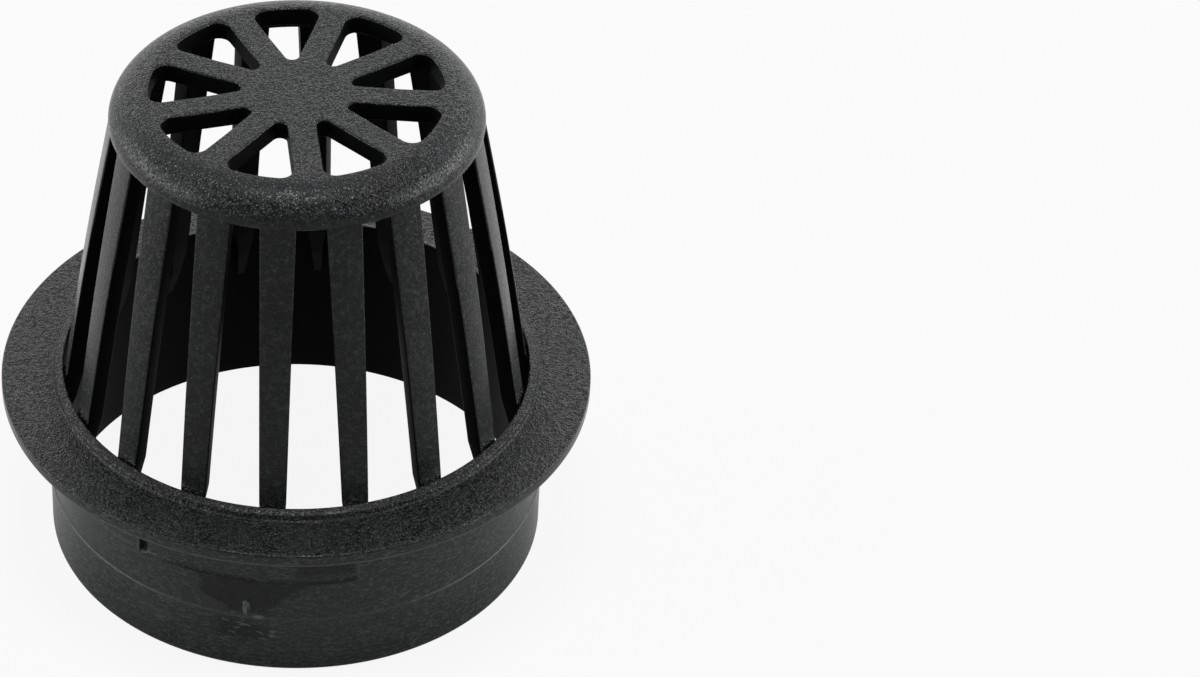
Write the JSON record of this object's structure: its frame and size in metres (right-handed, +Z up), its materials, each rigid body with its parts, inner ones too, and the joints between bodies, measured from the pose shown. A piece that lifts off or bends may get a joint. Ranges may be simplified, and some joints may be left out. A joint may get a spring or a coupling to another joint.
{
  "type": "atrium grate",
  "caption": "Domed round drain grate: a plain spigot skirt, a flange, a tapering cage of ribs and a cap with a rosette of windows.",
  "frame": {"origin": "centre of the skirt's bottom edge, on the grate's axis", "axes": "+Z up the grate's axis, from the skirt to the cap; -Y is the side with the shallow pocket, which faces the picture's viewer"},
  "size_m": [0.126, 0.126, 0.1112],
  "materials": {
    "black_polyethylene": "satin moulded surface with a fine grain"
  },
  "bodies": {
    "root": {"atrium_grate": "black_polyethylene"}
  },
  "joints": []
}
